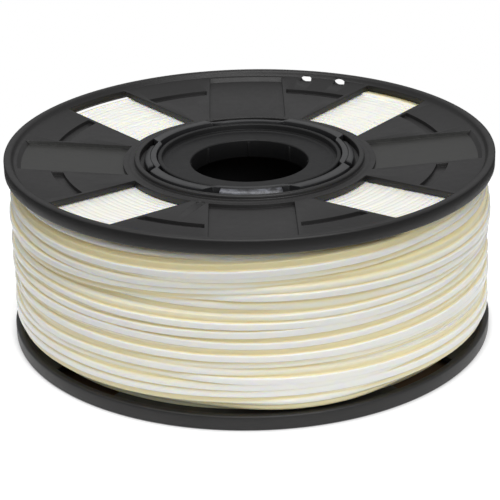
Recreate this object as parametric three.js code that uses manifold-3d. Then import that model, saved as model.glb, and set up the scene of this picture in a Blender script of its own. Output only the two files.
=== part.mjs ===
// Filament spool: two snap-on flanges, a winding drum, two bore inserts and the filament.
// Millimetres, +Z along the spool's axis. The spool lies on its lower flange, its origin under the centre.
import * as THREE from 'three';
import { mergeVertices } from 'three/addons/utils/BufferGeometryUtils.js';
import Module from 'manifold-3d';

// Overall
const FLANGE_RADIUS = 100;
const SPOOL_WIDTH = 78;
const SEAT_GAP = 0.3;

// Drum
const DRUM_RADIUS = 49.8;
const DRUM_WALL = 2.6;
const DRUM_LEAD = 0.6;
const WEB_THICKNESS = 2.5;
const WEB_MARGIN = 3.3;
const CREST_SETBACK = 1.9;
const CREST_WALL = 4.3;
const CREST_PROUD = 0.6;
const CREST_ROOT = 0.5;
const JOG_WALL = 2.5;
const JOG_SPAN = 45;
const JOG_FLANK = 4;
const JOG_FLARE = 2;

// Flange: a shallow dish with a rim round it and a collar in the middle, over the drum's bore
const RIM_HEIGHT = 6.1;
const RIM_THICKNESS = 3.6;
const RIM_EDGE = 1.3;
const RIM_FOOT = 0.8;
const RIM_SINK = 2.2;
const PLATE_THICKNESS = 2.6;
const DISH_SLOPE = 0.088;
const SEAT_MARGIN = 0.1;
const COLLAR_GAP = 0.7;
const COLLAR_WALL = 2.2;
const COLLAR_HEIGHT = 1.9;
const COLLAR_EDGE = 0.7;
const LEDGE_WIDTH = 2.7;
const LEDGE_HEIGHT = 0.5;

// Four windows on the flange's diagonals
const WINDOW_SEAT_MARGIN = 1.7;
const WINDOW_RIM_MARGIN = 0.6;
const WINDOW_INNER_WIDTH = 32.4;
const WINDOW_OUTER_WIDTH = 33;

// Four label recesses between the windows
const POCKET_WIDTH = 33;
const POCKET_DEPTH = 1.6;
const POCKET_SEAT_MARGIN = 1.9;
const POCKET_RIM_MARGIN = 1.6;

// Eight arc grooves, one on each land between a window and a recess
const GROOVE_RIM_DISTANCE = 17.1;
const GROOVE_WIDTH = 4.6;
const GROOVE_DEPTH = 1.6;
const GROOVE_POCKET_GAP = 1.4;
const GROOVE_WINDOW_GAP = 1.5;

// Two round holes through the foot of the rim, for the filament's end
const TIE_HOLE_RADIUS = 2.1;
const TIE_HOLE_ANGLES = [63.6, 73.1];
const TIE_HOLE_HEIGHT = 3.6;
const TIE_HOLE_START = 2.5;

// The ejector's round dimple on one land
const DIMPLE_ANGLE = -112;
const DIMPLE_RADIUS = 1.75;
const DIMPLE_DEPTH = 0.3;
const DIMPLE_SEAT_DISTANCE = 2.6;

// Snap noses on the drum's jogs, and the flange's tabs that they hold
const NOSE_INSET = 4;
const NOSE_TIP_GAP = 1.9;
const NOSE_TIP_EDGE = 0.6;
const NOSE_DROP = 0.2;
const NOSE_SLOPE = 1.4;
const TAB_INSET = 7;
const TAB_REACH = 2.8;
const TAB_THICKNESS = 1.7;

// How far a piece runs into the wall that carries it, and a cut past the face that it opens
const ROOT_OVERLAP = 0.5;
const CUT_MARGIN = 1;

// Bore inserts
const HUB_RADIUS = 37.8;
const HUB_SINK = 0.7;
const HUB_RIM_WALL = 1.9;
const HUB_RIM_HEIGHT = 2.8;
const HUB_RIM_EDGE = 0.5;
const HUB_PLATE = 2.2;
const HUB_STEP_WIDTH = 1.7;
const HUB_STEP_HEIGHT = 0.7;
const HUB_DRAFT = 0.3;
const BORE_RADIUS = 24.2;
const BORE_EDGE = 0.4;
const SLEEVE_WALL = 2;
const SLEEVE_LENGTH = 7.8;
const BORE_RIBS = 8;
const BORE_RIB_RADIUS = 0.5;
const BORE_RIB_TOP = 1;
const BORE_RIB_END = 0.5;

// Filament
const FILAMENT_DIAMETER = 2.85;
const TURN_SPACING = 0.5;
const WINDING_RIM_GAP = 0.6;
const LOOP_STEPS = 24;
const TUBE_SIDES = 6;

// Radii, from the bore insert outwards to the collar, and from the drum and the rim
const JOG_INNER = HUB_RADIUS + SEAT_GAP;
const JOG_OUTER = JOG_INNER + JOG_WALL;
const CREST_INNER = JOG_INNER + CREST_SETBACK;
const CREST_OUTER = CREST_INNER + CREST_WALL;
const COLLAR_BORE = CREST_OUTER + COLLAR_GAP;
const COLLAR_RADIUS = COLLAR_BORE + COLLAR_WALL;
const LEDGE_RADIUS = COLLAR_RADIUS + LEDGE_WIDTH;
const WEB_BORE = HUB_RADIUS - WEB_MARGIN;
const DRUM_BORE = DRUM_RADIUS - DRUM_WALL;
const SEAT_RADIUS = DRUM_RADIUS + SEAT_MARGIN;
const RIM_INNER = FLANGE_RADIUS - RIM_THICKNESS;
const WINDOW_INNER_RADIUS = SEAT_RADIUS + WINDOW_SEAT_MARGIN;
const WINDOW_OUTER_RADIUS = RIM_INNER - WINDOW_RIM_MARGIN;
const POCKET_INNER_RADIUS = SEAT_RADIUS + POCKET_SEAT_MARGIN;
const POCKET_OUTER_RADIUS = RIM_INNER - POCKET_RIM_MARGIN;
const TAB_SPAN = JOG_SPAN - TAB_INSET;
const NOSE_SPAN = TAB_SPAN - NOSE_INSET;

// Heights are measured from the spool's middle plane, so both halves share them.
const HALF = SPOOL_WIDTH / 2;
const plateTop = (r) => HALF - RIM_SINK - DISH_SLOPE * (RIM_INNER - r);
const plateUnder = (r) => plateTop(r) - PLATE_THICKNESS;
const SEAT_Z = plateUnder(SEAT_RADIUS);
const COLLAR_TOP = plateTop(LEDGE_RADIUS) + COLLAR_HEIGHT;
const TAB_TOP = SEAT_Z + TAB_THICKNESS;
const DRUM_END = SEAT_Z - SEAT_GAP;
const CREST_TOP = COLLAR_TOP + CREST_PROUD;
const HUB_RIM_TOP = CREST_TOP - HUB_SINK;
const HUB_FACE = HUB_RIM_TOP - HUB_RIM_HEIGHT;
const SLEEVE_END = HUB_FACE - SLEEVE_LENGTH;
const WEB_TOP = SLEEVE_END + WEB_THICKNESS / 2;
const WEB_UNDER = WEB_TOP - WEB_THICKNESS;

const PLASTIC = { color: 0x17171a, roughness: 0.45, metalness: 0 };
const HUB_PLASTIC = { color: 0x19191c, roughness: 0.5, metalness: 0 };
const FILAMENT = { color: 0xe4dcc6, roughness: 0.4, metalness: 0 };
const FLANGE_SIDES = 52;
const DRUM_SIDES = 48;
const HUB_SIDES = 40;

const wasm = await Module();
wasm.setup();

const radians = THREE.MathUtils.degToRad;

function solid(geometry) {
  geometry.deleteAttribute('normal');
  geometry.deleteAttribute('uv');
  const merged = mergeVertices(geometry, 1e-4);
  return new wasm.Manifold(new wasm.Mesh({
    numProp: 3,
    vertProperties: Float32Array.from(merged.attributes.position.array),
    triVerts: Uint32Array.from(merged.index.array),
  }));
}

function geometryOf(manifold) {
  const { vertProperties, triVerts } = manifold.getMesh();
  const geometry = new THREE.BufferGeometry();
  geometry.setAttribute('position', new THREE.BufferAttribute(vertProperties, 3));
  geometry.setIndex(new THREE.BufferAttribute(triVerts, 1));
  geometry.computeVertexNormals();
  return geometry;
}

// A closed outline of [radius, height] points, counter-clockwise, turned round the axis
function revolve(outline, segments) {
  const points = [...outline, outline[0]].map(([r, z]) => new THREE.Vector2(r, z));
  return solid(new THREE.LatheGeometry(points, segments).rotateX(Math.PI / 2));
}

// The same kind of outline, swept through part of a turn and capped at both ends
function arcSweep(outline, fromDegrees, toDegrees) {
  const steps = Math.max(2, Math.round((toDegrees - fromDegrees) / 6));
  const n = outline.length;
  const positions = [];
  for (let step = 0; step <= steps; step++) {
    const angle = radians(fromDegrees + (toDegrees - fromDegrees) * step / steps);
    for (const [r, z] of outline) positions.push(r * Math.cos(angle), r * Math.sin(angle), z);
  }
  const index = [];
  for (let step = 0; step < steps; step++) {
    for (let i = 0; i < n; i++) {
      const a = step * n + i;
      const b = step * n + (i + 1) % n;
      index.push(a, b, b + n, a, b + n, a + n);
    }
  }
  const flat = outline.map(([r, z]) => new THREE.Vector2(r, z));
  for (const [a, b, c] of THREE.ShapeUtils.triangulateShape(flat, [])) {
    index.push(a, c, b, steps * n + a, steps * n + b, steps * n + c);
  }
  const geometry = new THREE.BufferGeometry();
  geometry.setAttribute('position', new THREE.Float32BufferAttribute(positions, 3));
  geometry.setIndex(index);
  return outward(geometry);
}

function outward(geometry) {
  const body = solid(geometry);
  if (body.volume() > 0) return body;
  const index = geometry.index.array;
  for (let i = 0; i < index.length; i += 3) [index[i], index[i + 1]] = [index[i + 1], index[i]];
  return solid(geometry);
}

function extrude(shape, bottom, top) {
  const options = { depth: top - bottom, bevelEnabled: false, curveSegments: 8 };
  return solid(new THREE.ExtrudeGeometry(shape, options).translate(0, 0, bottom));
}

function turned(body, degrees) {
  return body.rotate([0, 0, degrees]);
}

// A strip along +X between two radii, whose width may change from its inner end to its outer end
function strip(innerRadius, outerRadius, innerWidth, outerWidth) {
  const innerAngle = Math.asin(innerWidth / 2 / innerRadius);
  const outerAngle = Math.asin(outerWidth / 2 / outerRadius);
  const shape = new THREE.Shape();
  shape.absarc(0, 0, outerRadius, -outerAngle, outerAngle, false);
  shape.absarc(0, 0, innerRadius, innerAngle, -innerAngle, true);
  shape.closePath();
  return shape;
}

function flangeBody() {
  const rimBottom = HALF - RIM_HEIGHT;
  return revolve([
    [COLLAR_BORE, SEAT_Z],
    [SEAT_RADIUS, SEAT_Z],
    [RIM_INNER, plateUnder(RIM_INNER)],
    [RIM_INNER + RIM_FOOT, rimBottom],
    [FLANGE_RADIUS - RIM_FOOT, rimBottom],
    [FLANGE_RADIUS, rimBottom + RIM_FOOT],
    [FLANGE_RADIUS, HALF - RIM_EDGE],
    [FLANGE_RADIUS - RIM_EDGE, HALF],
    [RIM_INNER + RIM_EDGE, HALF],
    [RIM_INNER, plateTop(RIM_INNER)],
    [LEDGE_RADIUS + LEDGE_HEIGHT, plateTop(LEDGE_RADIUS + LEDGE_HEIGHT)],
    [LEDGE_RADIUS, plateTop(LEDGE_RADIUS) + LEDGE_HEIGHT],
    [COLLAR_RADIUS + LEDGE_HEIGHT, plateTop(LEDGE_RADIUS) + LEDGE_HEIGHT],
    [COLLAR_RADIUS, COLLAR_TOP - COLLAR_EDGE],
    [COLLAR_RADIUS - COLLAR_EDGE, COLLAR_TOP],
    [COLLAR_BORE, COLLAR_TOP],
  ], FLANGE_SIDES);
}

// A window, or with a clearance the land that is kept free round it
function windowCutter(clearance = 0) {
  const innerWidth = WINDOW_INNER_WIDTH + 2 * clearance;
  const outerWidth = WINDOW_OUTER_WIDTH + 2 * clearance;
  const shape = strip(WINDOW_INNER_RADIUS, WINDOW_OUTER_RADIUS, innerWidth, outerWidth);
  return extrude(shape, 0, HALF);
}

function pocketOutline(clearance = 0) {
  const width = POCKET_WIDTH + 2 * clearance;
  const shape = strip(POCKET_INNER_RADIUS, POCKET_OUTER_RADIUS, width, width);
  return extrude(shape, 0, HALF);
}

// A label recess: its floor follows the dish and slopes up to the rim at its outer end
function pocketCutter() {
  const floorStart = POCKET_INNER_RADIUS - CUT_MARGIN;
  const floorEnd = POCKET_OUTER_RADIUS - POCKET_DEPTH;
  const aboveFloor = revolve([
    [floorStart, plateTop(floorStart) - POCKET_DEPTH],
    [floorEnd, plateTop(floorEnd) - POCKET_DEPTH],
    [RIM_INNER, plateTop(RIM_INNER) + POCKET_RIM_MARGIN],
    [RIM_INNER, HALF + CUT_MARGIN],
    [floorStart, HALF + CUT_MARGIN],
  ], FLANGE_SIDES);
  return pocketOutline().intersect(aboveFloor);
}

// The arc grooves: a ring, less the lands kept free along the recesses and the windows
function grooveCutter() {
  const middle = RIM_INNER - GROOVE_RIM_DISTANCE;
  const inner = middle - GROOVE_WIDTH / 2;
  const outer = middle + GROOVE_WIDTH / 2;
  let ring = revolve([
    [inner, plateTop(inner) - GROOVE_DEPTH],
    [outer, plateTop(outer) - GROOVE_DEPTH],
    [outer, plateTop(outer) + CUT_MARGIN],
    [inner, plateTop(inner) + CUT_MARGIN],
  ], FLANGE_SIDES);
  const pocketLand = pocketOutline(GROOVE_POCKET_GAP);
  const windowLand = windowCutter(GROOVE_WINDOW_GAP);
  for (let quarter = 0; quarter < 4; quarter++) {
    ring = ring.subtract(turned(pocketLand, quarter * 90));
    ring = ring.subtract(turned(windowLand, quarter * 90 + 45));
  }
  return ring;
}

function tieHoleCutter(degrees) {
  const start = RIM_INNER - TIE_HOLE_START;
  const length = FLANGE_RADIUS + CUT_MARGIN - start;
  const drill = new THREE.CylinderGeometry(TIE_HOLE_RADIUS, TIE_HOLE_RADIUS, length, 12).rotateZ(Math.PI / 2);
  return turned(solid(drill.translate(start + length / 2, 0, HALF - TIE_HOLE_HEIGHT)), degrees);
}

function dimpleCutter() {
  const distance = SEAT_RADIUS + DIMPLE_SEAT_DISTANCE;
  const drill = new THREE.CylinderGeometry(DIMPLE_RADIUS, DIMPLE_RADIUS, 2 * DIMPLE_DEPTH, 12);
  drill.rotateX(Math.PI / 2).rotateY(-Math.atan(DISH_SLOPE)).translate(distance, 0, plateTop(distance));
  return turned(solid(drill), DIMPLE_ANGLE);
}

function flangeTab() {
  return arcSweep([
    [COLLAR_BORE - TAB_REACH, SEAT_Z],
    [COLLAR_BORE + ROOT_OVERLAP, SEAT_Z],
    [COLLAR_BORE + ROOT_OVERLAP, TAB_TOP],
    [COLLAR_BORE - TAB_REACH, TAB_TOP],
  ], -TAB_SPAN / 2, TAB_SPAN / 2);
}

function flange() {
  const window = windowCutter();
  const pocket = pocketCutter();
  const tab = flangeTab();
  let body = flangeBody().subtract(grooveCutter()).subtract(dimpleCutter());
  for (let quarter = 0; quarter < 4; quarter++) {
    const angle = quarter * 90;
    body = body.add(turned(tab, angle));
    body = body.subtract(turned(window, angle + 45));
    body = body.subtract(turned(pocket, angle));
  }
  for (const angle of TIE_HOLE_ANGLES) body = body.subtract(tieHoleCutter(angle));
  return geometryOf(body);
}

// One edge of the drum's castellated crest: near the axis at the jogs, farther out between them
function castellatedEdge(jogRadius, crestRadius, jogSpan) {
  const points = [];
  for (let quarter = 0; quarter < 4; quarter++) {
    const middle = quarter * 90;
    const jogHalf = (jogSpan - JOG_FLANK) / 2;
    const crestHalf = (90 - jogSpan - JOG_FLANK) / 2;
    for (let i = -3; i <= 3; i++) points.push([jogRadius, middle + jogHalf * i / 3]);
    for (let i = -3; i <= 3; i++) points.push([crestRadius, middle + 45 + crestHalf * i / 3]);
  }
  return points.map(([r, a]) => new THREE.Vector2(r * Math.cos(radians(a)), r * Math.sin(radians(a))));
}

function crest() {
  const shape = new THREE.Shape(castellatedEdge(JOG_OUTER, CREST_OUTER, JOG_SPAN + JOG_FLARE));
  shape.holes.push(new THREE.Path(castellatedEdge(JOG_INNER, CREST_INNER, JOG_SPAN - 2 * JOG_FLARE)));
  return extrude(shape, WEB_TOP - CREST_ROOT, CREST_TOP);
}

function snapNose() {
  const tip = COLLAR_BORE - NOSE_TIP_GAP;
  const catchZ = TAB_TOP + SEAT_GAP;
  const top = CREST_TOP - NOSE_DROP;
  return arcSweep([
    [JOG_OUTER - ROOT_OVERLAP, catchZ],
    [tip - NOSE_TIP_EDGE, catchZ],
    [tip, Math.min(catchZ + NOSE_TIP_EDGE, top - NOSE_SLOPE)],
    [tip, top - NOSE_SLOPE],
    [JOG_OUTER - ROOT_OVERLAP, top],
  ], -NOSE_SPAN / 2, NOSE_SPAN / 2);
}

function drum() {
  const side = [
    [DRUM_RADIUS, DRUM_END],
    [DRUM_BORE + DRUM_LEAD, DRUM_END],
    [DRUM_BORE, DRUM_END - DRUM_LEAD],
    [DRUM_BORE, WEB_TOP],
    [WEB_BORE, WEB_TOP],
    [WEB_BORE, WEB_UNDER],
    [DRUM_BORE, WEB_UNDER],
  ];
  const otherSide = side.map(([r, z]) => [r, -z]).reverse();
  let body = revolve([...side, ...otherSide], DRUM_SIDES);
  let end = crest();
  for (let quarter = 0; quarter < 4; quarter++) end = end.add(turned(snapNose(), quarter * 90));
  body = body.add(end).add(end.mirror([0, 0, 1]));
  return geometryOf(body);
}

function hub() {
  const rimInner = HUB_RADIUS - HUB_RIM_WALL;
  const stepInner = rimInner - HUB_STEP_WIDTH;
  const stepTop = HUB_FACE + HUB_STEP_HEIGHT;
  const under = HUB_FACE - HUB_PLATE;
  const skirtEnd = WEB_TOP + SEAT_GAP;
  const sleeve = BORE_RADIUS + SLEEVE_WALL;
  let body = revolve([
    [BORE_RADIUS, SLEEVE_END],
    [sleeve, SLEEVE_END],
    [sleeve, under],
    [rimInner, under],
    [rimInner, skirtEnd],
    [HUB_RADIUS, skirtEnd],
    [HUB_RADIUS, HUB_RIM_TOP - HUB_RIM_EDGE],
    [HUB_RADIUS - HUB_RIM_EDGE, HUB_RIM_TOP],
    [rimInner + HUB_RIM_EDGE, HUB_RIM_TOP],
    [rimInner, HUB_RIM_TOP - HUB_RIM_EDGE],
    [rimInner - HUB_DRAFT, stepTop],
    [stepInner, stepTop],
    [stepInner - HUB_DRAFT, HUB_FACE],
    [BORE_RADIUS + BORE_EDGE, HUB_FACE],
    [BORE_RADIUS, HUB_FACE - BORE_EDGE],
  ], HUB_SIDES);
  const ribLength = SLEEVE_LENGTH - BORE_RIB_TOP - BORE_RIB_END;
  for (let i = 0; i < BORE_RIBS; i++) {
    const rib = new THREE.CylinderGeometry(BORE_RIB_RADIUS, BORE_RIB_RADIUS, ribLength, 6);
    rib.rotateX(Math.PI / 2).translate(BORE_RADIUS, 0, HUB_FACE - BORE_RIB_TOP - ribLength / 2);
    body = body.add(turned(solid(rib), i * 360 / BORE_RIBS));
  }
  return geometryOf(body);
}

const TURN_SAG = 1 - Math.cos(Math.PI / LOOP_STEPS);
const TURN_RADIUS = RIM_INNER + RIM_FOOT - WINDING_RIM_GAP - FILAMENT_DIAMETER / 2;
const CORE_RADIUS = TURN_RADIUS * (1 - TURN_SAG) - FILAMENT_DIAMETER / 2 - SEAT_GAP;
const WOUND_LENGTH = 2 * (plateUnder(TURN_RADIUS - FILAMENT_DIAMETER) - SEAT_GAP) - FILAMENT_DIAMETER;
const WOUND_TURNS = Math.floor(WOUND_LENGTH / (FILAMENT_DIAMETER + TURN_SPACING));

// The packed inner layers, plain, filling the drum from flange to flange
function woundCore() {
  const inner = DRUM_RADIUS + SEAT_GAP;
  const side = [
    [CORE_RADIUS, plateUnder(CORE_RADIUS) - SEAT_GAP],
    [SEAT_RADIUS + SEAT_GAP, SEAT_Z - SEAT_GAP],
    [inner, SEAT_Z - SEAT_GAP],
  ];
  const otherSide = side.map(([r, z]) => [r, -z]).reverse();
  return geometryOf(revolve([...side, ...otherSide], FLANGE_SIDES));
}

// The outer layer: one helix, run out straight along the winding at both ends
function outerLayerPath() {
  const points = [];
  const pitch = WOUND_LENGTH / WOUND_TURNS;
  for (let i = 0; i <= WOUND_TURNS * LOOP_STEPS; i++) {
    const angle = i * 2 * Math.PI / LOOP_STEPS;
    const z = pitch * (i / LOOP_STEPS - WOUND_TURNS / 2);
    points.push(new THREE.Vector3(TURN_RADIUS * Math.cos(angle), TURN_RADIUS * Math.sin(angle), z));
  }
  const run = (from, to) => to.clone().sub(from).setZ(0).setLength(FILAMENT_DIAMETER).add(to);
  points.unshift(run(points[1], points[0]));
  points.push(run(points.at(-2), points.at(-1)));
  return points;
}

// The least distance between points of the path that lie more than half a turn apart, less the diameter
function leastGap(points) {
  let least = Infinity;
  for (let i = 0; i < points.length; i++) {
    for (let j = i + LOOP_STEPS / 2; j < points.length; j++) {
      least = Math.min(least, points[i].distanceTo(points[j]));
    }
  }
  return least - FILAMENT_DIAMETER;
}

function tube(points) {
  const positions = [];
  const index = [];
  const up = new THREE.Vector3(0, 0, 1);
  points.forEach((point, i) => {
    const before = points[Math.max(i - 1, 0)];
    const after = points[Math.min(i + 1, points.length - 1)];
    const tangent = after.clone().sub(before).normalize();
    const across = tangent.clone().cross(up).normalize();
    const rise = across.clone().cross(tangent);
    for (let side = 0; side < TUBE_SIDES; side++) {
      const angle = 2 * Math.PI * side / TUBE_SIDES;
      const corner = point.clone();
      corner.addScaledVector(across, Math.cos(angle) * FILAMENT_DIAMETER / 2);
      corner.addScaledVector(rise, Math.sin(angle) * FILAMENT_DIAMETER / 2);
      positions.push(...corner.toArray());
    }
  });
  for (let i = 0; i < points.length - 1; i++) {
    for (let side = 0; side < TUBE_SIDES; side++) {
      const a = i * TUBE_SIDES + side;
      const b = i * TUBE_SIDES + (side + 1) % TUBE_SIDES;
      index.push(a, b, b + TUBE_SIDES, a, b + TUBE_SIDES, a + TUBE_SIDES);
    }
  }
  const last = (points.length - 1) * TUBE_SIDES;
  for (let side = 1; side < TUBE_SIDES - 1; side++) {
    index.push(0, side + 1, side, last, last + side, last + side + 1);
  }
  const geometry = new THREE.BufferGeometry();
  geometry.setAttribute('position', new THREE.Float32BufferAttribute(positions, 3));
  geometry.setIndex(index);
  return geometryOf(outward(geometry));
}

const spool = new THREE.Group();
spool.position.z = HALF;

function place(name, geometry, look, flipped = false) {
  const mesh = new THREE.Mesh(geometry, new THREE.MeshStandardMaterial(look));
  mesh.name = name;
  if (flipped) mesh.rotation.y = Math.PI;
  spool.add(mesh);
}

const flangeGeometry = flange();
const hubGeometry = hub();
place('upper_flange', flangeGeometry, PLASTIC);
place('lower_flange', flangeGeometry, PLASTIC, true);
place('winding_drum', drum(), PLASTIC);
place('upper_bore_insert', hubGeometry, HUB_PLASTIC);
place('lower_bore_insert', hubGeometry, HUB_PLASTIC, true);
place('filament_core', woundCore(), FILAMENT);
const path = outerLayerPath();
place('filament_outer_turns', tube(path), FILAMENT);
console.log(`least gap of the outer turns to themselves: ${leastGap(path).toFixed(3)} mm`);

const root = new THREE.Group();
root.add(spool);
export default root;
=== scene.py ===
"""Looks for the filament spool: finer mouldings, the wound filament, materials, light and camera."""

import math

import bmesh
import bpy
import numpy as np
from mathutils import Matrix, Vector


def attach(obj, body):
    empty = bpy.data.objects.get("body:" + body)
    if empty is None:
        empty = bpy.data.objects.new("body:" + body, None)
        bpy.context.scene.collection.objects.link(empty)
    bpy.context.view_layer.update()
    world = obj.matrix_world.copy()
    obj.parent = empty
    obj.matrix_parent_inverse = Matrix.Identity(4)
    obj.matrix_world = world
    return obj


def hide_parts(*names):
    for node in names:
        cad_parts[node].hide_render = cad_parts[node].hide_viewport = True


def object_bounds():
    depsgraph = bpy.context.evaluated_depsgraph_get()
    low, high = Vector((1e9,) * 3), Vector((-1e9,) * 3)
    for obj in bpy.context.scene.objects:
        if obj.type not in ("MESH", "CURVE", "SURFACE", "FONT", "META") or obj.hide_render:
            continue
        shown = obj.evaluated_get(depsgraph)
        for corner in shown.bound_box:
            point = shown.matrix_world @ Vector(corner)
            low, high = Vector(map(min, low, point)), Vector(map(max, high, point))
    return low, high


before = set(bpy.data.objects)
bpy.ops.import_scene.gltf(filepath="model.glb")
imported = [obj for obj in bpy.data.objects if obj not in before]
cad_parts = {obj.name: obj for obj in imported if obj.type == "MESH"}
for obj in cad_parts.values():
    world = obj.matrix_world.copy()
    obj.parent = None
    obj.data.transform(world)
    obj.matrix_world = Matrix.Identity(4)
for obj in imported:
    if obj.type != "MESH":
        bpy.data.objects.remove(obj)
cad_low, cad_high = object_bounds()

MM = 0.001

# Sizes of the spool, in millimetres. They have the CAD source's values, apart from the rim's rounding,
# the height of the insert's step and the tie holes. Heights are from the middle plane.
RADIUS = cad_high.x / MM
HALF = (cad_high.z - cad_low.z) / MM / 2
SEAT_GAP = 0.3

DRUM_RADIUS = 49.8
DRUM_WALL = 2.6
DRUM_LEAD = 0.6
WEB_THICKNESS = 2.5
WEB_MARGIN = 3.3
CREST_SETBACK = 1.9
CREST_WALL = 4.3
CREST_PROUD = 0.6
CREST_ROOT = 0.5
JOG_WALL = 2.5
JOG_SPAN = 45
JOG_FLANK = 4
JOG_FLARE = 2
RIM_HEIGHT = 6.1
RIM_THICKNESS = 3.6
RIM_EDGE = 1.3
RIM_FOOT = 0.8
RIM_SINK = 2.2
RIM_ROUNDING = 0.9
PLATE_THICKNESS = 2.6
DISH_SLOPE = 0.088
SEAT_MARGIN = 0.1
COLLAR_GAP = 0.7
COLLAR_WALL = 2.2
COLLAR_HEIGHT = 1.9
COLLAR_EDGE = 0.7
LEDGE_WIDTH = 2.7
LEDGE_HEIGHT = 0.5
WINDOW_SEAT_MARGIN = 1.7
WINDOW_RIM_MARGIN = 0.6
WINDOW_INNER_WIDTH = 32.4
WINDOW_OUTER_WIDTH = 33
POCKET_WIDTH = 33
POCKET_DEPTH = 1.6
POCKET_SEAT_MARGIN = 1.9
POCKET_RIM_MARGIN = 1.6
GROOVE_RIM_DISTANCE = 17.1
GROOVE_WIDTH = 4.6
GROOVE_DEPTH = 1.6
GROOVE_POCKET_GAP = 1.4
GROOVE_WINDOW_GAP = 1.5
TIE_HOLE_WIDTH = 5.8
TIE_HOLE_TALL = 3.7
TIE_HOLE_HEADING = 78
TIE_HOLE_ANGLES = (63.6, 73.1)
TIE_HOLE_HEIGHT = 3.5
TIE_HOLE_START = 4.3
DIMPLE_ANGLE = -112
DIMPLE_RADIUS = 1.75
DIMPLE_DEPTH = 0.3
DIMPLE_SEAT_DISTANCE = 2.6
NOSE_INSET = 4
NOSE_TIP_GAP = 1.9
NOSE_TIP_EDGE = 0.6
NOSE_DROP = 0.2
NOSE_SLOPE = 1.4
TAB_INSET = 7
TAB_REACH = 2.8
TAB_THICKNESS = 1.7
ROOT_OVERLAP = 0.5
CUT_MARGIN = 1
HUB_RADIUS = 37.8
HUB_SINK = 0.7
HUB_RIM_WALL = 1.9
HUB_RIM_HEIGHT = 2.8
HUB_PLATE = 2.2
HUB_STEP_WIDTH = 1.7
HUB_STEP_HEIGHT = 0.45
BORE_RADIUS = 24.2
BORE_EDGE = 0.4
SLEEVE_WALL = 2
SLEEVE_LENGTH = 7.8
BORE_RIBS = 8
BORE_RIB_RADIUS = 0.5
BORE_RIB_TOP = 1
BORE_RIB_END = 0.5
STRAND = 2.85

JOG_INNER = HUB_RADIUS + SEAT_GAP
JOG_OUTER = JOG_INNER + JOG_WALL
CREST_INNER = JOG_INNER + CREST_SETBACK
CREST_OUTER = CREST_INNER + CREST_WALL
COLLAR_BORE = CREST_OUTER + COLLAR_GAP
COLLAR_RADIUS = COLLAR_BORE + COLLAR_WALL
LEDGE_RADIUS = COLLAR_RADIUS + LEDGE_WIDTH
WEB_BORE = HUB_RADIUS - WEB_MARGIN
DRUM_BORE = DRUM_RADIUS - DRUM_WALL
SEAT_RADIUS = DRUM_RADIUS + SEAT_MARGIN
RIM_INNER = RADIUS - RIM_THICKNESS
WINDOW_INNER_RADIUS = SEAT_RADIUS + WINDOW_SEAT_MARGIN
WINDOW_OUTER_RADIUS = RIM_INNER - WINDOW_RIM_MARGIN
POCKET_INNER_RADIUS = SEAT_RADIUS + POCKET_SEAT_MARGIN
POCKET_OUTER_RADIUS = RIM_INNER - POCKET_RIM_MARGIN
TAB_SPAN = JOG_SPAN - TAB_INSET
NOSE_SPAN = TAB_SPAN - NOSE_INSET
NOSE_TIP = COLLAR_BORE - NOSE_TIP_GAP
HUB_RIM_INNER = HUB_RADIUS - HUB_RIM_WALL
HUB_STEP_INNER = HUB_RIM_INNER - HUB_STEP_WIDTH


def plate_top(r):
    return HALF - RIM_SINK - DISH_SLOPE * (RIM_INNER - r)


def plate_under(r):
    return plate_top(r) - PLATE_THICKNESS


SEAT_Z = plate_under(SEAT_RADIUS)
COLLAR_TOP = plate_top(LEDGE_RADIUS) + COLLAR_HEIGHT
TAB_TOP = SEAT_Z + TAB_THICKNESS
DRUM_END = SEAT_Z - SEAT_GAP
CREST_TOP = COLLAR_TOP + CREST_PROUD
HUB_RIM_TOP = CREST_TOP - HUB_SINK
HUB_FACE = HUB_RIM_TOP - HUB_RIM_HEIGHT
HUB_STEP_TOP = HUB_FACE + HUB_STEP_HEIGHT
SLEEVE_END = HUB_FACE - SLEEVE_LENGTH
WEB_TOP = SLEEVE_END + WEB_THICKNESS / 2
WEB_UNDER = WEB_TOP - WEB_THICKNESS

# The small roundings of the sections, which are finer than the CAD's. A point is given by how far it lies
# (out, up) from the corner that it rounds.
RIM_FOOT_CORNER = 0.25
RIM_INSIDE = ((RIM_EDGE, 0), (0.75, -0.25), (0.3, -0.8))
RIM_INSIDE_FOOT = ((-0.15, 0.35),)
RIM_FILLET = 0.7
LEDGE_FILLET = 1.2
LEDGE_EDGE = ((0.3, 0.1), (-0.2, 0.22), (-0.7, LEDGE_HEIGHT))
COLLAR_FOOT = ((0.7, LEDGE_HEIGHT - 0.1), (0.25, 0.3), (0.08, 0.4), (0, 0.65))
COLLAR_OUTSIDE = ((-0.06, -COLLAR_EDGE * 0.7), (-0.2, -0.18), (-0.5, 0))
COLLAR_INSIDE = ((0.3, 0), (0, -0.3))
NOSE_SHOULDER = ((-0.5, -NOSE_SLOPE * 0.55),)
NOSE_ROOT = ((0.4, -0.15),)
HUB_RIM_OUTSIDE = ((0, -0.6), (-0.18, -0.18), (-0.6, 0))
HUB_RIM_INSIDE = ((0.4, 0), (0.12, -0.12), (0, -0.4))
HUB_STEP_CORNER = ((-0.04, 0.15), (-0.2, 0))
HUB_STEP_EDGE = ((0.3, 0), (0, -0.2))
HUB_STEP_FOOT = ((-0.3, 0.1), (-0.8, 0))
HUB_BORE_EDGE = ((BORE_EDGE, 0), (0, -BORE_EDGE))

QUARTERS = (0, 90, 180, 270)
ROUND_STEPS = 180
DRUM_STEPS = 120
SWEEP_STEP = 2.0
GROOVE_STEP = 1.0
STRIP_STEPS = 12
EDGE_STEPS = 10
HOLE_SIDES = 24
RIB_SIDES = 12
MERGE_DISTANCE = 0.02
BEVEL_ANGLE = 32
SHARP_ANGLE = 38


# ---------------------------------------------------------------- outlines


def polar(r, degrees):
    a = math.radians(degrees)
    return r * math.cos(a), r * math.sin(a)


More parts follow.
